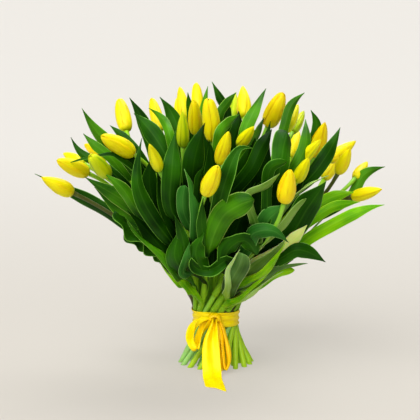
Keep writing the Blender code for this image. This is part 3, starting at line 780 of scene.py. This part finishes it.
# Each leaf that shows at the front: the tulip it grows on, its base's height above the tie
# in mm, the points it runs through (lean right, lean front, distance in mm from the tie),
# width in mm, where it is widest, its tone and, where they aren't the usual ones, its turn,
# its cup and its wave.
# Leaves of the tone inner are painted shade: near-black because they lie deep in the bunch
FRONT_LEAVES = (
    ("long_left", 14, 90, ((-26, 33, 161), (-26, 34, 268), (-20, 23, 298)), 22, 0.58, "deep", 10, 25, 1),
    ("tall_centre", 30, 111, ((-1, 40, 199), (3, 40, 280), (6, 35, 307), (10, 33, 304)),
     21, 0.73, "deep", 0, -20, 0.8),
    ("heart", 30, 87, ((-3, 43, 171), (3, 42, 222), (9, 42, 247), (14, 41, 256)), 32, 0.82, "mid", 0, 20),
    ("slim_centre", 30, 95, ((-11, 40, 179), (-8, 39, 228), (-10, 36, 283)), 18, 0.65, "teal", 15, 20, 1),
    ("dark_fold", 30, 60, ((-27, 41, 150), (-17, 38, 190)), 37, 0.5, "deep", -20, 25, 1),
    ("teal_front", 30, 74, ((-28, 44, 124), (-21, 44, 149), (-15, 44, 181)), 12, 0.6, "teal", 20),
    ("crinkled", 30, 74, ((-11, 47, 117), (-13, 45, 162), (-6, 43, 193)), 24, 0.62, "deep", -10, 25, 4),
    ("cupped", 31, 74, ((8, 47, 146), (-5, 49, 130), (-16, 48, 135), (-17, 46, 156)),
     16, 0.71, "deep", 10, -30, 3),
    ("centre_dark", 30, 74, ((-3, 43, 106), (-2, 41, 135), (-1, 40, 157)), 16, 0.62, "inner"),
    ("wavy_front", 31, 74, ((5, 46, 114), (7, 44, 162), (15, 43, 185), (26, 42, 159)),
     23, 0.63, "deep", 35, 25, 4),
    ("pale_curl", 33, 29, ((16, 51, 110), (18, 48, 147), (17, 47, 171)), 26, 0.8, "shade", -10, 30, 1),
    ("bright_line", 32, 42, ((37, 41, 128), (37, 39, 166), (35, 38, 193)), 12, 0.6, "fresh", 20, 20),
    ("ribbed", 32, 48, ((34, 39, 135), (35, 35, 190)), 25, 0.55, "grey", 10, -15),
    ("arched", 31, 75, ((19, 41, 167), (19, 42, 199), (26, 41, 211), (36, 39, 200)),
     20, 0.72, "teal", -30, 20),
    ("right_low", 31, 74, ((40, 32, 145), (44, 30, 176), (58, 21, 180)), 20, 0.72, "deep", -20, 20, 1),
    ("low_right_line", 33, 42, ((43, 36, 109), (47, 31, 127), (53, 25, 142)), 14, 0.72, "fresh", 20, 25, 1),
    ("long_right", 34, 74,
     ((44, 21, 130), (46, 16, 175), (48, 14, 208), (50, 11, 234), (52, 9, 257), (54, 8, 276)),
     17, 0.78, "fresh", -10, 15, 0.8),
    ("right_pale_low", 17, 109, ((43, 8, 200), (45, 6, 222), (50, 3, 250)), 13, 0.76, "fresh", 0, 10),
    ("right_pale_high", 17, 113, ((41, 4, 208), (43, 2, 228), (47, 0, 252)), 16, 0.78, "fresh", 0, 10),
    ("broad_right", 32, 89, ((37, 25, 172), (35, 24, 223), (35, 22, 264)), 35, 0.77, "deep", 0, 10, 0.8),
    ("edge_right", 31, 123, ((28, 31, 236), (30, 30, 267), (34, 25, 280)), 11, 0.76, "grey", 60, 20),
    ("fold_right", 31, 96, ((30, 35, 196), (31, 32, 228), (32, 30, 248)), 17, 0.77, "grey", 40, 25),
    ("teal_right", 31, 89, ((23, 38, 190), (23, 36, 211), (27, 33, 233)), 26, 0.78, "teal"),
    ("upper_right", 7, 150, ((31, 15, 238), (32, 12, 276), (32, 4, 308)), 20, 0.72, "deep", -10),
    ("far_right_tip", 35, 123, ((48, -4, 243), (46, -5, 277), (48, -3, 305)), 15, 0.77, "mid", -10),
    ("tall_right", 15, 150, ((25, 20, 241), (25, 16, 278), (23, 8, 300)), 17, 0.71, "mid", 15, 20),
    ("flat_top", 15, 150, ((20, 26, 261), (19, 21, 276), (19, 15, 287)), 28, 0.88, "deep"),
    ("inner_right", 13, 150, ((11, 29, 253), (13, 24, 276), (15, 17, 287)), 19, 0.8, "inner", -15, 20),
    ("curved_right", 31, 131, ((18, 32, 244), (17, 31, 273), (21, 29, 282)), 15, 0.78, "deep", 20, 20, 0.8),
    ("narrow_right", 31, 123, ((12, 36, 235), (17, 34, 252), (20, 32, 272)), 13, 0.79, "grey", 40, 20),
    ("behind_gold", 33, 150, ((19, 3, 276), (19, 1, 305), (21, 0, 326)), 13, 0.84, "mid"),
    ("behind_pair", 36, 150, ((28, 0, 273), (27, 0, 294), (24, 0, 308)), 13, 0.83, "deep"),
    ("long_spike", 16, 150, ((8, 14, 265), (10, 7, 292), (12, 0, 317)), 17, 0.73, "mid", -10, 20, 0.8),
    ("light_edge", 16, 150, ((9, 16, 255), (12, 8, 264), (13, 3, 281)), 17, 0.79, "mid", 30, 20),
    ("mid_top", 5, 150, ((1, 19, 274), (3, 15, 281), (6, 11, 288)), 15, 0.86, "mid", 20, 20),
    ("dark_top", 16, 150, ((5, 13, 254), (6, 9, 271), (6, 5, 285)), 17, 0.84, "inner", 0, 20),
    ("left_of_green", 4, 150, ((1, 3, 278), (3, 1, 293), (5, 0, 306)), 12, 0.89, "mid", 0, 20),
    ("crumpled_tip", 1, 150, ((3, 0, 279), (1, 0, 298), (-1, 0, 319)), 12, 0.85, "deep", 0, 25, 1.5),
    ("between_tops", 4, 150, ((-4, 5, 266), (-3, 2, 292), (-2, 0, 313)), 12, 0.81, "mid", 0, 20),
    ("broad_top_left", 4, 150, ((-11, 2, 248), (-12, 0, 282), (-14, 0, 308)), 20, 0.78, "deep", 10),
    ("thin_over", 29, 150, ((-13, 17, 273), (-14, 11, 288), (-17, 6, 302)), 12, 0.78, "mid", 20, 20),
    ("diagonal_left", 29, 150, ((-16, 14, 244), (-18, 10, 274), (-21, 5, 301)), 24, 0.76, "deep"),
    ("spike_left", 10, 150, ((-20, 0, 245), (-20, 0, 288), (-21, 0, 319)), 18, 0.74, "deep"),
    ("over_big", 12, 150, ((-24, 9, 252), (-26, 6, 279), (-28, 3, 298)), 13, 0.81, "deep", 15, 20),
    ("far_left_spike", 25, 150, ((-30, 0, 246), (-32, 0, 299), (-32, 0, 335)), 19, 0.7, "mid"),
    ("left_fold", 11, 150, ((-34, 8, 249), (-38, 4, 288), (-38, 1, 312)), 13, 0.71, "deep", 20, 20),
    ("thin_across", 12, 150, ((-29, 16, 276), (-35, 15, 289), (-41, 11, 295)), 8, 0.82, "deep", 60, 20),
    ("broad_dark", 30, 126, ((-9, 32, 224), (-7, 32, 276), (-3, 21, 296)), 28, 0.68, "inner"),
    ("broad_left", 14, 131, ((-19, 32, 207), (-14, 31, 268), (-11, 21, 290)), 25, 0.67, "deep", -15, 20, 1),
    ("edge_left", 14, 100, ((-22, 31, 166), (-21, 29, 219), (-19, 26, 258)), 17, 0.69, "inner", 40, 20),
    ("under_green", 28, 130, ((-32, 25, 216), (-32, 24, 248), (-34, 22, 274)), 16, 0.75, "mid", 0, 20),
    ("under_far_left", 27, 91, ((-44, -2, 185), (-48, -4, 242), (-51, -1, 311)), 20, 0.6, "deep"),
    ("left_mid", 28, 95, ((-33, 13, 169), (-36, 12, 212), (-39, 11, 243), (-41, 9, 266)),
     22, 0.67, "mid", 0, 15, 1),
    ("curly", 28, 74, ((-38, 22, 134), (-40, 21, 167), (-41, 20, 193), (-40, 18, 216)),
     25, 0.85, "deep", 50, 15, 6),
    ("bright_edge", 29, 74, ((-33, 35, 104), (-33, 31, 157), (-34, 28, 194), (-35, 26, 221)),
     25, 0.59, "inner", 15, 20, 1),
    ("low_left", 29, 34, ((-41, 19, 86), (-40, 16, 117), (-39, 13, 138)), 12, 0.55, "fresh", 20, 20, 1),
    ("flat_piece", 30, 115, ((-14, 36, 204), (-13, 36, 232), (-11, 35, 251)), 17, 0.86, "teal"),
    ("sliver", 30, 150, ((-7, 38, 253), (-6, 37, 269), (-4, 36, 282)), 9, 0.82, "inner", 30, 20),
    ("centre_low", 30, 74, ((-7, 34, 150), (-5, 33, 187), (-3, 32, 217)), 23, 0.72, "inner"),
    ("centre_right", 31, 74, ((10, 36, 128), (11, 34, 174), (13, 32, 214)), 31, 0.63, "inner"),
    ("inner_top", 13, 130, ((9, 24, 194), (9, 23, 238), (10, 21, 269)), 24, 0.73, "inner"),
    ("inner_mid", 15, 112, ((20, 28, 182), (17, 27, 212), (17, 27, 245)), 22, 0.73, "inner"),
    ("inner_edge", 15, 139, ((24, 26, 221), (22, 26, 245), (21, 24, 259)), 20, 0.79, "inner"),
    ("left_inner", 28, 117, ((-26, 22, 197), (-23, 22, 236), (-19, 20, 262)), 22, 0.72, "inner"),
    ("left_top", 12, 150, ((-26, 13, 233), (-26, 12, 261), (-27, 8, 280)), 18, 0.79, "inner"),
    ("small_left", 25, 150, ((-32, 4, 255), (-34, 3, 285), (-35, 1, 306)), 13, 0.8, "mid"),
    ("small_top", 4, 150, ((-7, 0, 278), (-7, 0, 295), (-7, 0, 307)), 9, 0.9, "deep"),
    ("low_right", 33, 55, ((44, 27, 119), (48, 23, 148)), 14, 0.5, "deep", 30, 20),
    ("pale_strip", 33, 29, ((14, 55, 109), (10, 52, 146), (12, 50, 166), (14, 48, 183)),
     9, 0.55, "pale", 35, 25, 0.3),
    ("grey_line", 33, 42, ((41, 38, 119), (46, 32, 142), (53, 27, 167)), 15, 0.6, "shade", 20, 20),
    # right_glow's bright tone is painted light shining through the leaf
    ("right_glow", 31, 74, ((38, 30, 155), (39, 28, 182), (39, 28, 209)), 16, 0.78, "glow", 0, 20),
    ("edge_line", 29, 74, ((-34, 39, 105), (-35, 34, 152), (-38, 29, 190), (-37, 27, 216)),
     9, 0.61, "mid", 40, 20, 1),
    ("curl_low", 28, 74, ((-40, 15, 132), (-43, 14, 156), (-45, 14, 177)), 15, 0.85, "deep", 50, 15, 5),
    ("low_edge", 29, 53, ((-39, 23, 109), (-39, 20, 134)), 12, 0.5, "mid", 30, 20, 1.5),
    ("gap_right", 15, 120, ((14, 24, 194), (12, 23, 237), (12, 20, 272)), 30, 0.71, "inner", 0, 15, 1),
    ("gap_middle", 15, 116, ((22, 23, 188), (19, 23, 228), (18, 21, 267)), 28, 0.69, "deep", 0, 15, 1),
    ("gap_far", 15, 120, ((28, 18, 195), (27, 18, 233), (24, 16, 264)), 27, 0.73, "inner", 0, 15, 1),
    ("gap_low", 15, 88, ((13, 29, 150), (14, 28, 191), (14, 27, 230)), 32, 0.7, "inner", 0, 15, 1),
    ("gap_left", 14, 104, ((-10, 29, 175), (-10, 28, 220), (-7, 27, 260)), 28, 0.69, "inner", 0, 15, 1),
    ("low_line", 30, 28, ((-35, 39, 102), (-35, 36, 133), (-35, 34, 149)), 9, 0.5, "fresh", 30, 20, 0.8),
    ("sweep_low", 33, 22, ((38, 50, 76), (41, 39, 124), (41, 36, 138)), 7, 0.5, "fresh", 30, 25, 0.3),
    ("sweep_mid", 33, 22, ((46, 45, 82), (46, 36, 116), (48, 32, 138)), 7, 0.5, "pale", 35, 25, 0.3),
    ("gap_centre", 13, 116, ((0, 22, 179), (-1, 22, 227), (-2, 19, 266)), 26, 0.69, "inner", 0, 15, 1),
    ("stem_cover", 30, 87, ((-7, 43, 168), (-7, 42, 210), (-5, 41, 251)), 14, 0.7, "deep", 10),
    ("wedge_left", 28, 74, ((-33, 12, 138), (-38, 10, 185), (-40, 9, 217), (-41, 8, 246)),
     25, 0.65, "mid", 0, 15, 1),
    ("gap_bright", 16, 134, ((10, 24, 185), (13, 14, 223), (15, 5, 254), (15, 2, 277)),
     22, 0.69, "deep", 0, 15, 1),
    ("gap_notch", 16, 134, ((13, 15, 184), (12, 14, 227), (10, 11, 269)), 30, 0.74, "inner", 0, 15, 1),
    ("gap_slot", 5, 111, ((-4, 10, 162), (-3, 10, 211), (-3, 7, 266)), 27, 0.74, "inner", 0, 15, 1),
    ("base_cover", 30, 74, ((-20, 42, 140), (-18, 40, 186), (-18, 39, 220)), 15, 0.68, "deep"),
    ("gap_high", 15, 116, ((19, 23, 192), (16, 23, 240), (15, 19, 276)), 24, 0.69, "inner", 0, 15, 1),
    ("sweep_right", 34, 22, ((45, 40, 85), (48, 32, 112), (52, 26, 126)), 9, 0.6, "fresh", 30, 25, 0.3),
)

# The front leaves that are solids in the CAD
SOLID_LEAVES = {
    "dark_fold": "leaf_01", "crinkled": "leaf_02", "pale_curl": "leaf_03",
    "ribbed": "leaf_04", "right_low": "leaf_05", "long_right": "leaf_06",
    "under_far_left": "leaf_15", "curly": "leaf_16", "bright_edge": "leaf_17",
}


def add_front_leaves(tulips):
    for name, host, start, tips, *shape in FRONT_LEAVES:
        replaced = [SOLID_LEAVES[name]] if name in SOLID_LEAVES else ()
        add_leaf("leaf_" + name, tulips[host - 1], start, tips, *shape, replaced=replaced)


# The CAD's other outer leaves: the leaf, its tulip, its base's height above the tie in mm,
# its tip (lean right, lean front, distance in mm from the tie), its width in mm and its tone.
OUTER_LEAVES = (
    (7, 37, 28, (50, -20, 215), 38, "mid"),
    (8, 37, 64, (48, -36, 215), 38, "deep"),
    (9, 20, 28, (34, -52, 205), 38, "mid"),
    (10, 21, 32, (12, -56, 220), 42, "deep"),
    (11, 22, 28, (-10, -56, 205), 38, "mid"),
    (12, 22, 64, (-28, -52, 200), 36, "deep"),
    (13, 24, 28, (-44, -44, 205), 38, "mid"),
    (14, 24, 64, (-48, -30, 195), 34, "deep"),
)


def add_outer_leaves(tulips):
    for number, host, start, tip, width, tone in OUTER_LEAVES:
        name = f"leaf_{number:02d}"
        add_leaf(name, tulips[host - 1], start, (tip,), width, widest=0.42, tone=tone, cup=24,
                 wave=1.5, facing=unit(from_tie(*tip) * (1, 1, 0)), replaced=(name,))


# Each tulip at the back and the sides, with how many more leaves it has
BACK_LEAVES = {1: 1, 2: 2, 3: 2, 6: 2, 8: 3, 9: 3, 11: 2, 17: 1, 18: 3, 19: 3, 20: 4, 21: 4, 22: 4,
               23: 3, 24: 4, 25: 2, 32: 2, 33: 2, 35: 2, 36: 2, 37: 4}
BACK_TONES = ("deep", "mid", "deep", "teal", "mid", "deep", "fresh")


def leans_of(point):
    """A point's lean to the right and the front in degrees and its distance in mm."""
    reach = point - TIE
    distance = np.linalg.norm(reach)
    return (math.degrees(math.atan2(reach[0], reach[2])),
            math.degrees(math.asin(-reach[1] / distance)), distance / MM)


def add_back_leaves(tulips):
    """Leaves that run up the outer side of the stems where the front ones don't reach."""
    for number, count in BACK_LEAVES.items():
        tulip = tulips[number - 1]
        draw = random.Random(500 + number)
        level = tulip.base * (1, 1, 0)
        away = unit(level + np.array((0.0, 60 * MM, 0.0)))
        beside = np.cross(UP, away)
        for k in range(count):
            share = (0.62, 0.78, 0.93, 0.70)[k] * draw.uniform(0.93, 1.05)
            start = draw.uniform(26, 60) + 12 * k
            swing = draw.uniform(-1, 1)
            waypoints = []
            for step, bulge, sway in ((0.5, 9, 10), (0.8, 16, 20), (1.0, 20 + 12 * share, 34)):
                height = TIE[2] + (tulip.base[2] - TIE[2]) * share * step
                middle, _, _ = tulip.at_height(height)
                waypoints.append(middle + (away * bulge + beside * sway * swing) * MM)
            waypoints[-1] += away * draw.uniform(-4, 18) * MM
            tips = [leans_of(point) for point in waypoints]
            add_leaf(f"leaf_back_{number:02d}_{k + 1}", tulip, start, tips, draw.uniform(24, 34),
                     draw.uniform(0.45, 0.6), turn=draw.uniform(-30, 30),
                     cup=draw.uniform(14, 30), wave=draw.uniform(0.5, 2.5),
                     tone=draw.choice(BACK_TONES), facing=away)


# Ribbon

def pleat_depth(shown, flat, pleats):
    """How deep a wave of so many pleats is that takes up flat cloth in the width shown."""
    slope = np.interp(flat / shown, WAVE_LENGTHS, WAVE_SLOPES)
    return slope * shown / (math.tau * pleats)


def add_ribbon(grid, name, material):
    """One piece of the ribbon, cut flat to the given width and length."""
    piece = Skin(grid).make(name, [material])
    thicken(piece, RIBBON_THICKNESS)
    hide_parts("ribbon_" + name)


def add_strip(name, corners, sides, shown, pleats, start, cut, material):
    """Ribbon along a line, creased lengthwise where it shows narrower than it is.

    corners are in mm. sides are the directions across it at its start, middle and end, and
    shown the shares of its length where its width changes, with those widths in mm. start
    is where its waves start, in turns, and cut how far one corner of its end reaches past
    the other, in mm.
    """
    line = smooth_line(np.array(corners) * MM, STRIP_ROWS)
    shares = np.linspace(0, 1, STRIP_ROWS)[:, None]
    travels = directions(line)
    across = np.hstack([np.interp(shares, (0, 0.5, 1), values) for values in zip(*sides)])
    across = np.array([unit(square_to(*pair)) for pair in zip(travels, across)])
    looks = np.cross(across, travels)
    widths = np.interp(shares, *shown) * MM
    depths = pleat_depth(widths, RIBBON_WIDTH, pleats)
    places = np.linspace(-1, 1, STRIP_COLUMNS + 1)
    phase = pleats * (places + 1) / 2 + start + 0.22 * np.sin(shares * 5 + start)
    slow = 0.5 * MM * np.sin(shares * 17 + places * 2.2)
    slow = slow * smoothstep(np.minimum(shares, 1 - shares) / 0.15)
    slant = cut * MM / 2 * smoothstep((shares - 0.75) / 0.25)
    grid = grid_of(line[:, None], (across[:, None], widths / 2 * places),
                   (looks[:, None], depths * np.sin(math.tau * phase) + slow),
                   (travels[:, None], slant * places))
    grid[:, :, 2] = np.maximum(grid[:, :, 2], 0.5 * MM)
    add_ribbon(grid, name, material)


def add_band():
    """The ribbon's turn round the stems, gathered; its ends meet under the knot."""
    turns = np.linspace(math.radians(-92), math.radians(268), 132)[:, None]
    rises = np.linspace(0, 1, 21)
    tall = BAND_TOP - BAND_FOOT
    heights = BAND_FOOT + tall * rises
    reach = OUTER_RING * np.hypot(1, SPIRAL * heights) + OUTER_STEM + 0.6 * MM
    depth = pleat_depth(tall, BAND_FLAT, BAND_PLEATS) * (0.8 + 0.3 * np.sin(3 * turns))
    phase = BAND_PLEATS * rises + 0.45 * np.sin(turns + 0.6) + 0.2 * np.sin(4 * turns + 1)
    radii = reach + depth * (0.7 + np.sin(math.tau * phase))
    sag = 0.8 * MM * np.sin(3 * turns + 0.5)
    grid = np.stack((radii * np.cos(turns), radii * np.sin(turns), TIE[2] + heights + sag),
                    axis=2)
    add_ribbon(grid, "band", SATIN)


def add_knot():
    """The knot: a short pleated hood of ribbon over the neck of the bow."""
    turns = np.radians(205 - 230 * np.linspace(0, 1, 40))[:, None]
    depths = np.linspace(0, 1, 21)
    back = 33.4 * MM
    wide, tall = 9.2 * MM, 7.5 * MM
    size = 1 - 0.55 * depths ** 2.2 + 0.05 * np.sin(math.tau * 3.2 * depths + 0.8)
    x = -2.5 * MM + wide * np.cos(turns) * size
    y = -(back + 9.5 * MM * np.sin(depths * math.pi / 2)) + 0 * x
    z = TIE[2] + 7 * MM + tall * np.sin(turns) * size
    grid = np.stack((x, y, z), axis=2)
    add_ribbon(grid, "knot", SATIN_PAINTED_SHADE)


# The loops and tails of the bow: the name, its corners in mm, the directions across it, its
# width as it shows at shares of its length, its pleats, where its waves start, the slant of
# its cut end, and its satin, whose deeper gold copy is painted shade.
BOW = (
    ("loop_left",
     ((-8, -36.5, 67), (-14, -40, 68.3), (-21.5, -43.5, 66.4), (-30, -48, 59.5), (-34, -51.5, 51.5),
      (-35, -53.5, 43.5), (-32.6, -54, 36), (-27.8, -53, 30.6), (-24.6, -49.5, 36.5),
      (-21.8, -45.5, 46), (-17, -42, 56), (-8, -37, 64)),
     ((0.3, -0.5, 1.0), (1.0, -0.55, -0.45), (0.8, -0.7, 0.3)),
     ((0, 0.12, 0.25, 0.4, 0.6, 0.8, 1), (8, 11, 12.5, 13.5, 13, 11.5, 8)), 1.2, 0.2, 0, SATIN),
    ("loop_right",
     ((4, -36.5, 65), (8.4, -43, 55.5), (12.5, -50, 43), (15.8, -55, 30.6), (17.0, -59, 19.7),
      (15.9, -61, 10.5), (12.9, -62, 4.8), (10.3, -60.5, 9.5), (9.8, -57.5, 20), (8.8, -53, 33),
      (7.6, -47.5, 45), (4, -38, 60)),
     ((0.8, -1.0, 0.6), (0.1, -1.0, 0.1), (0.06, -1.0, 0.1)),
     ((0, 0.12, 0.3, 0.5, 0.7, 0.88, 1), (8, 11, 13.5, 15, 14, 11, 8)), 3.0, 0.6, 0, SATIN_PAINTED_SHADE),
    ("tail_front",
     ((-3.0, -38, 66.5), (-3.2, -44.5, 62), (-4.8, -49, 52.5), (-6.4, -55, 43), (-6.6, -66, 25),
      (-5.6, -77, 8), (-5, -87, 1.6), (-4, -105, 1.3), (-2.4, -125, 1.3), (-0.6, -147, 1.3)),
     ((1.0, 0.1, 0.0), (1.0, 0.15, 0.0), (1.0, 0.0, 0.0)),
     ((0, 0.06, 0.12, 0.22, 0.32, 0.5, 1), (6, 8.5, 13, 20, 23.6, 24.5, 24.8)), 1.25, 0.3, 27,
     SATIN),
    ("tail_back",
     ((3.0, -37, 61), (3.7, -43, 48), (4.3, -51, 30), (4.6, -57.5, 5)),
     ((0.25, -1.0, 0.0), (0.7, -1.0, 0.0), (0.8, -1.0, 0.0)),
     ((0, 0.3, 1), (8, 12, 14)), 1.4, 0.4, 8, SATIN_PAINTED_SHADE),
)


def main():
    tulips = [Tulip(number) for number in range(1, 38)]
    for tulip in tulips:
        add_stem(tulip)
        add_flower(tulip)
    add_front_leaves(tulips)
    add_outer_leaves(tulips)
    add_back_leaves(tulips)
    add_band()
    add_knot()
    for strip in BOW:
        add_strip(*strip)


# Stage, light and camera

def add_stage():
    """A wide pale floor that glows with its own light, with a painted falloff of light that makes it a
    little brighter away from the camera.
    """
    half = 30.0
    mesh = bpy.data.meshes.new("floor")
    mesh.from_pydata([(-half, -half, 0), (half, -half, 0), (half, half, 0), (-half, half, 0)],
                     [], [(0, 1, 2, 3)])
    material, tree = new_material("floor")
    place = put(tree, "TexCoord").outputs["Object"]
    parts = put(tree, "SeparateXYZ", Vector=place).outputs
    # Painted falloff of light: the floor's colour brightens away from the camera
    far = mapped(tree, parts["Y"], -0.6, 2.5)
    colour = blended(tree, far, (0.405, 0.381, 0.342), (0.474, 0.457, 0.428))
    # Half the colour takes the lamps' light, and the floor also glows with the whole colour, a glow that
    # fades the shadows on it
    darker = blended(tree, 0.5, colour, (0.0, 0.0, 0.0))
    feed(tree, tree.nodes["Principled BSDF"], Base_Color=darker, Emission_Color=colour,
         Emission_Strength=1.0, Roughness=0.9, Specular_IOR_Level=0.05)
    mesh.materials.append(material)
    add_object("floor", mesh)


def add_lamp(name, kind, energy, turns):
    """A lamp that points down, turned by the given degrees."""
    lamp = bpy.data.lights.new(name, kind)
    lamp.energy = energy
    holder = add_object(name, lamp)
    holder.rotation_euler = [math.radians(turn) for turn in turns]
    return lamp, holder


def add_light():
    world = bpy.data.worlds.new("studio")
    bpy.context.scene.world = world
    world.use_nodes = True
    tree = world.node_tree
    feed(tree, tree.nodes["Background"], Color=(0.97, 0.96, 0.94), Strength=0.12)
    for name, energy, width, tilt, roll in (("key", 3.8, 60, 34, -26), ("rim", 2.5, 40, -30, 14)):
        sun, _ = add_lamp(name, "SUN", energy, (tilt, roll, 0))
        sun.angle = math.radians(width)
    fill, holder = add_lamp("front", "AREA", 11, (64, 0, 14))
    fill.shape = "DISK"
    fill.size = 1.2
    holder.location = (0.5, -1.9, 1.1)


def add_camera():
    camera = bpy.data.cameras.new("camera")
    camera.lens = 152.4
    camera.sensor_width = 36
    camera.clip_end = 100
    holder = add_object("camera", camera)
    holder.location = (-8 * MM, -2343 * MM, 579.5 * MM)
    holder.rotation_euler = (math.radians(90 - 9.02), 0, 0)
    bpy.context.scene.camera = holder


bpy.context.scene.view_settings.view_transform = "Standard"
main()
add_stage()
add_light()
add_camera()
